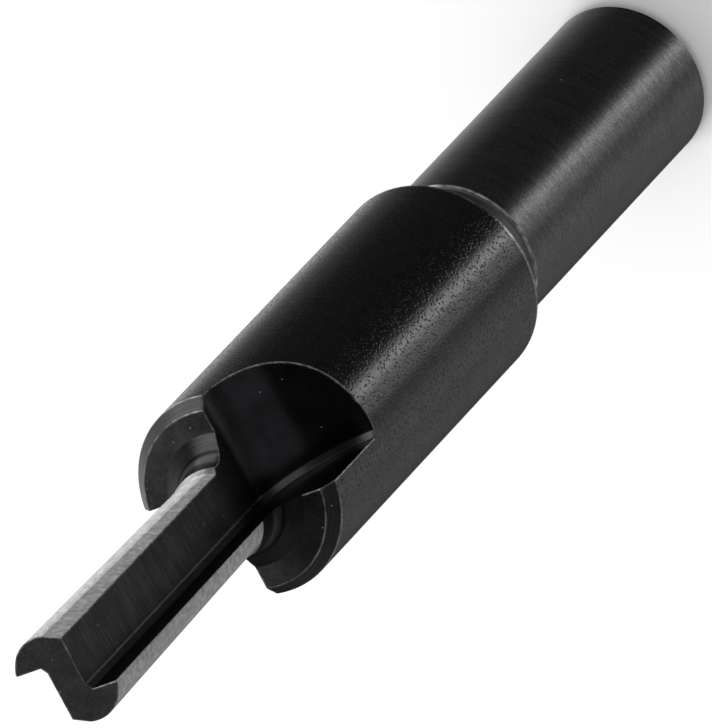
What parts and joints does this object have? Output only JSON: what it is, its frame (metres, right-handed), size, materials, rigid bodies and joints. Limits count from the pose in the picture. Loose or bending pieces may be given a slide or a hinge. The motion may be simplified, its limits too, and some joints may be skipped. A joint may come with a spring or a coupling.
{
  "type": "wood milling cutter",
  "caption": "Straight two-flute milling cutter for wood: round shank, thicker round body, and a thin cutting part with V flutes that run out into the body.",
  "frame": {"origin": "centre of the flat end face of the shank", "axes": "+Z along the tool's axis from the shank's end to the cutting tip; the flutes' rake faces are planes of constant X and their floors planes of constant Y"},
  "size_m": [0.01, 0.01, 0.0625],
  "materials": {
    "black_oxide_steel": "black oxide on turned and milled steel, with the lands behind the cutting edges ground bright"
  },
  "bodies": {
    "root": {"milling_cutter": "black_oxide_steel"}
  },
  "joints": []
}
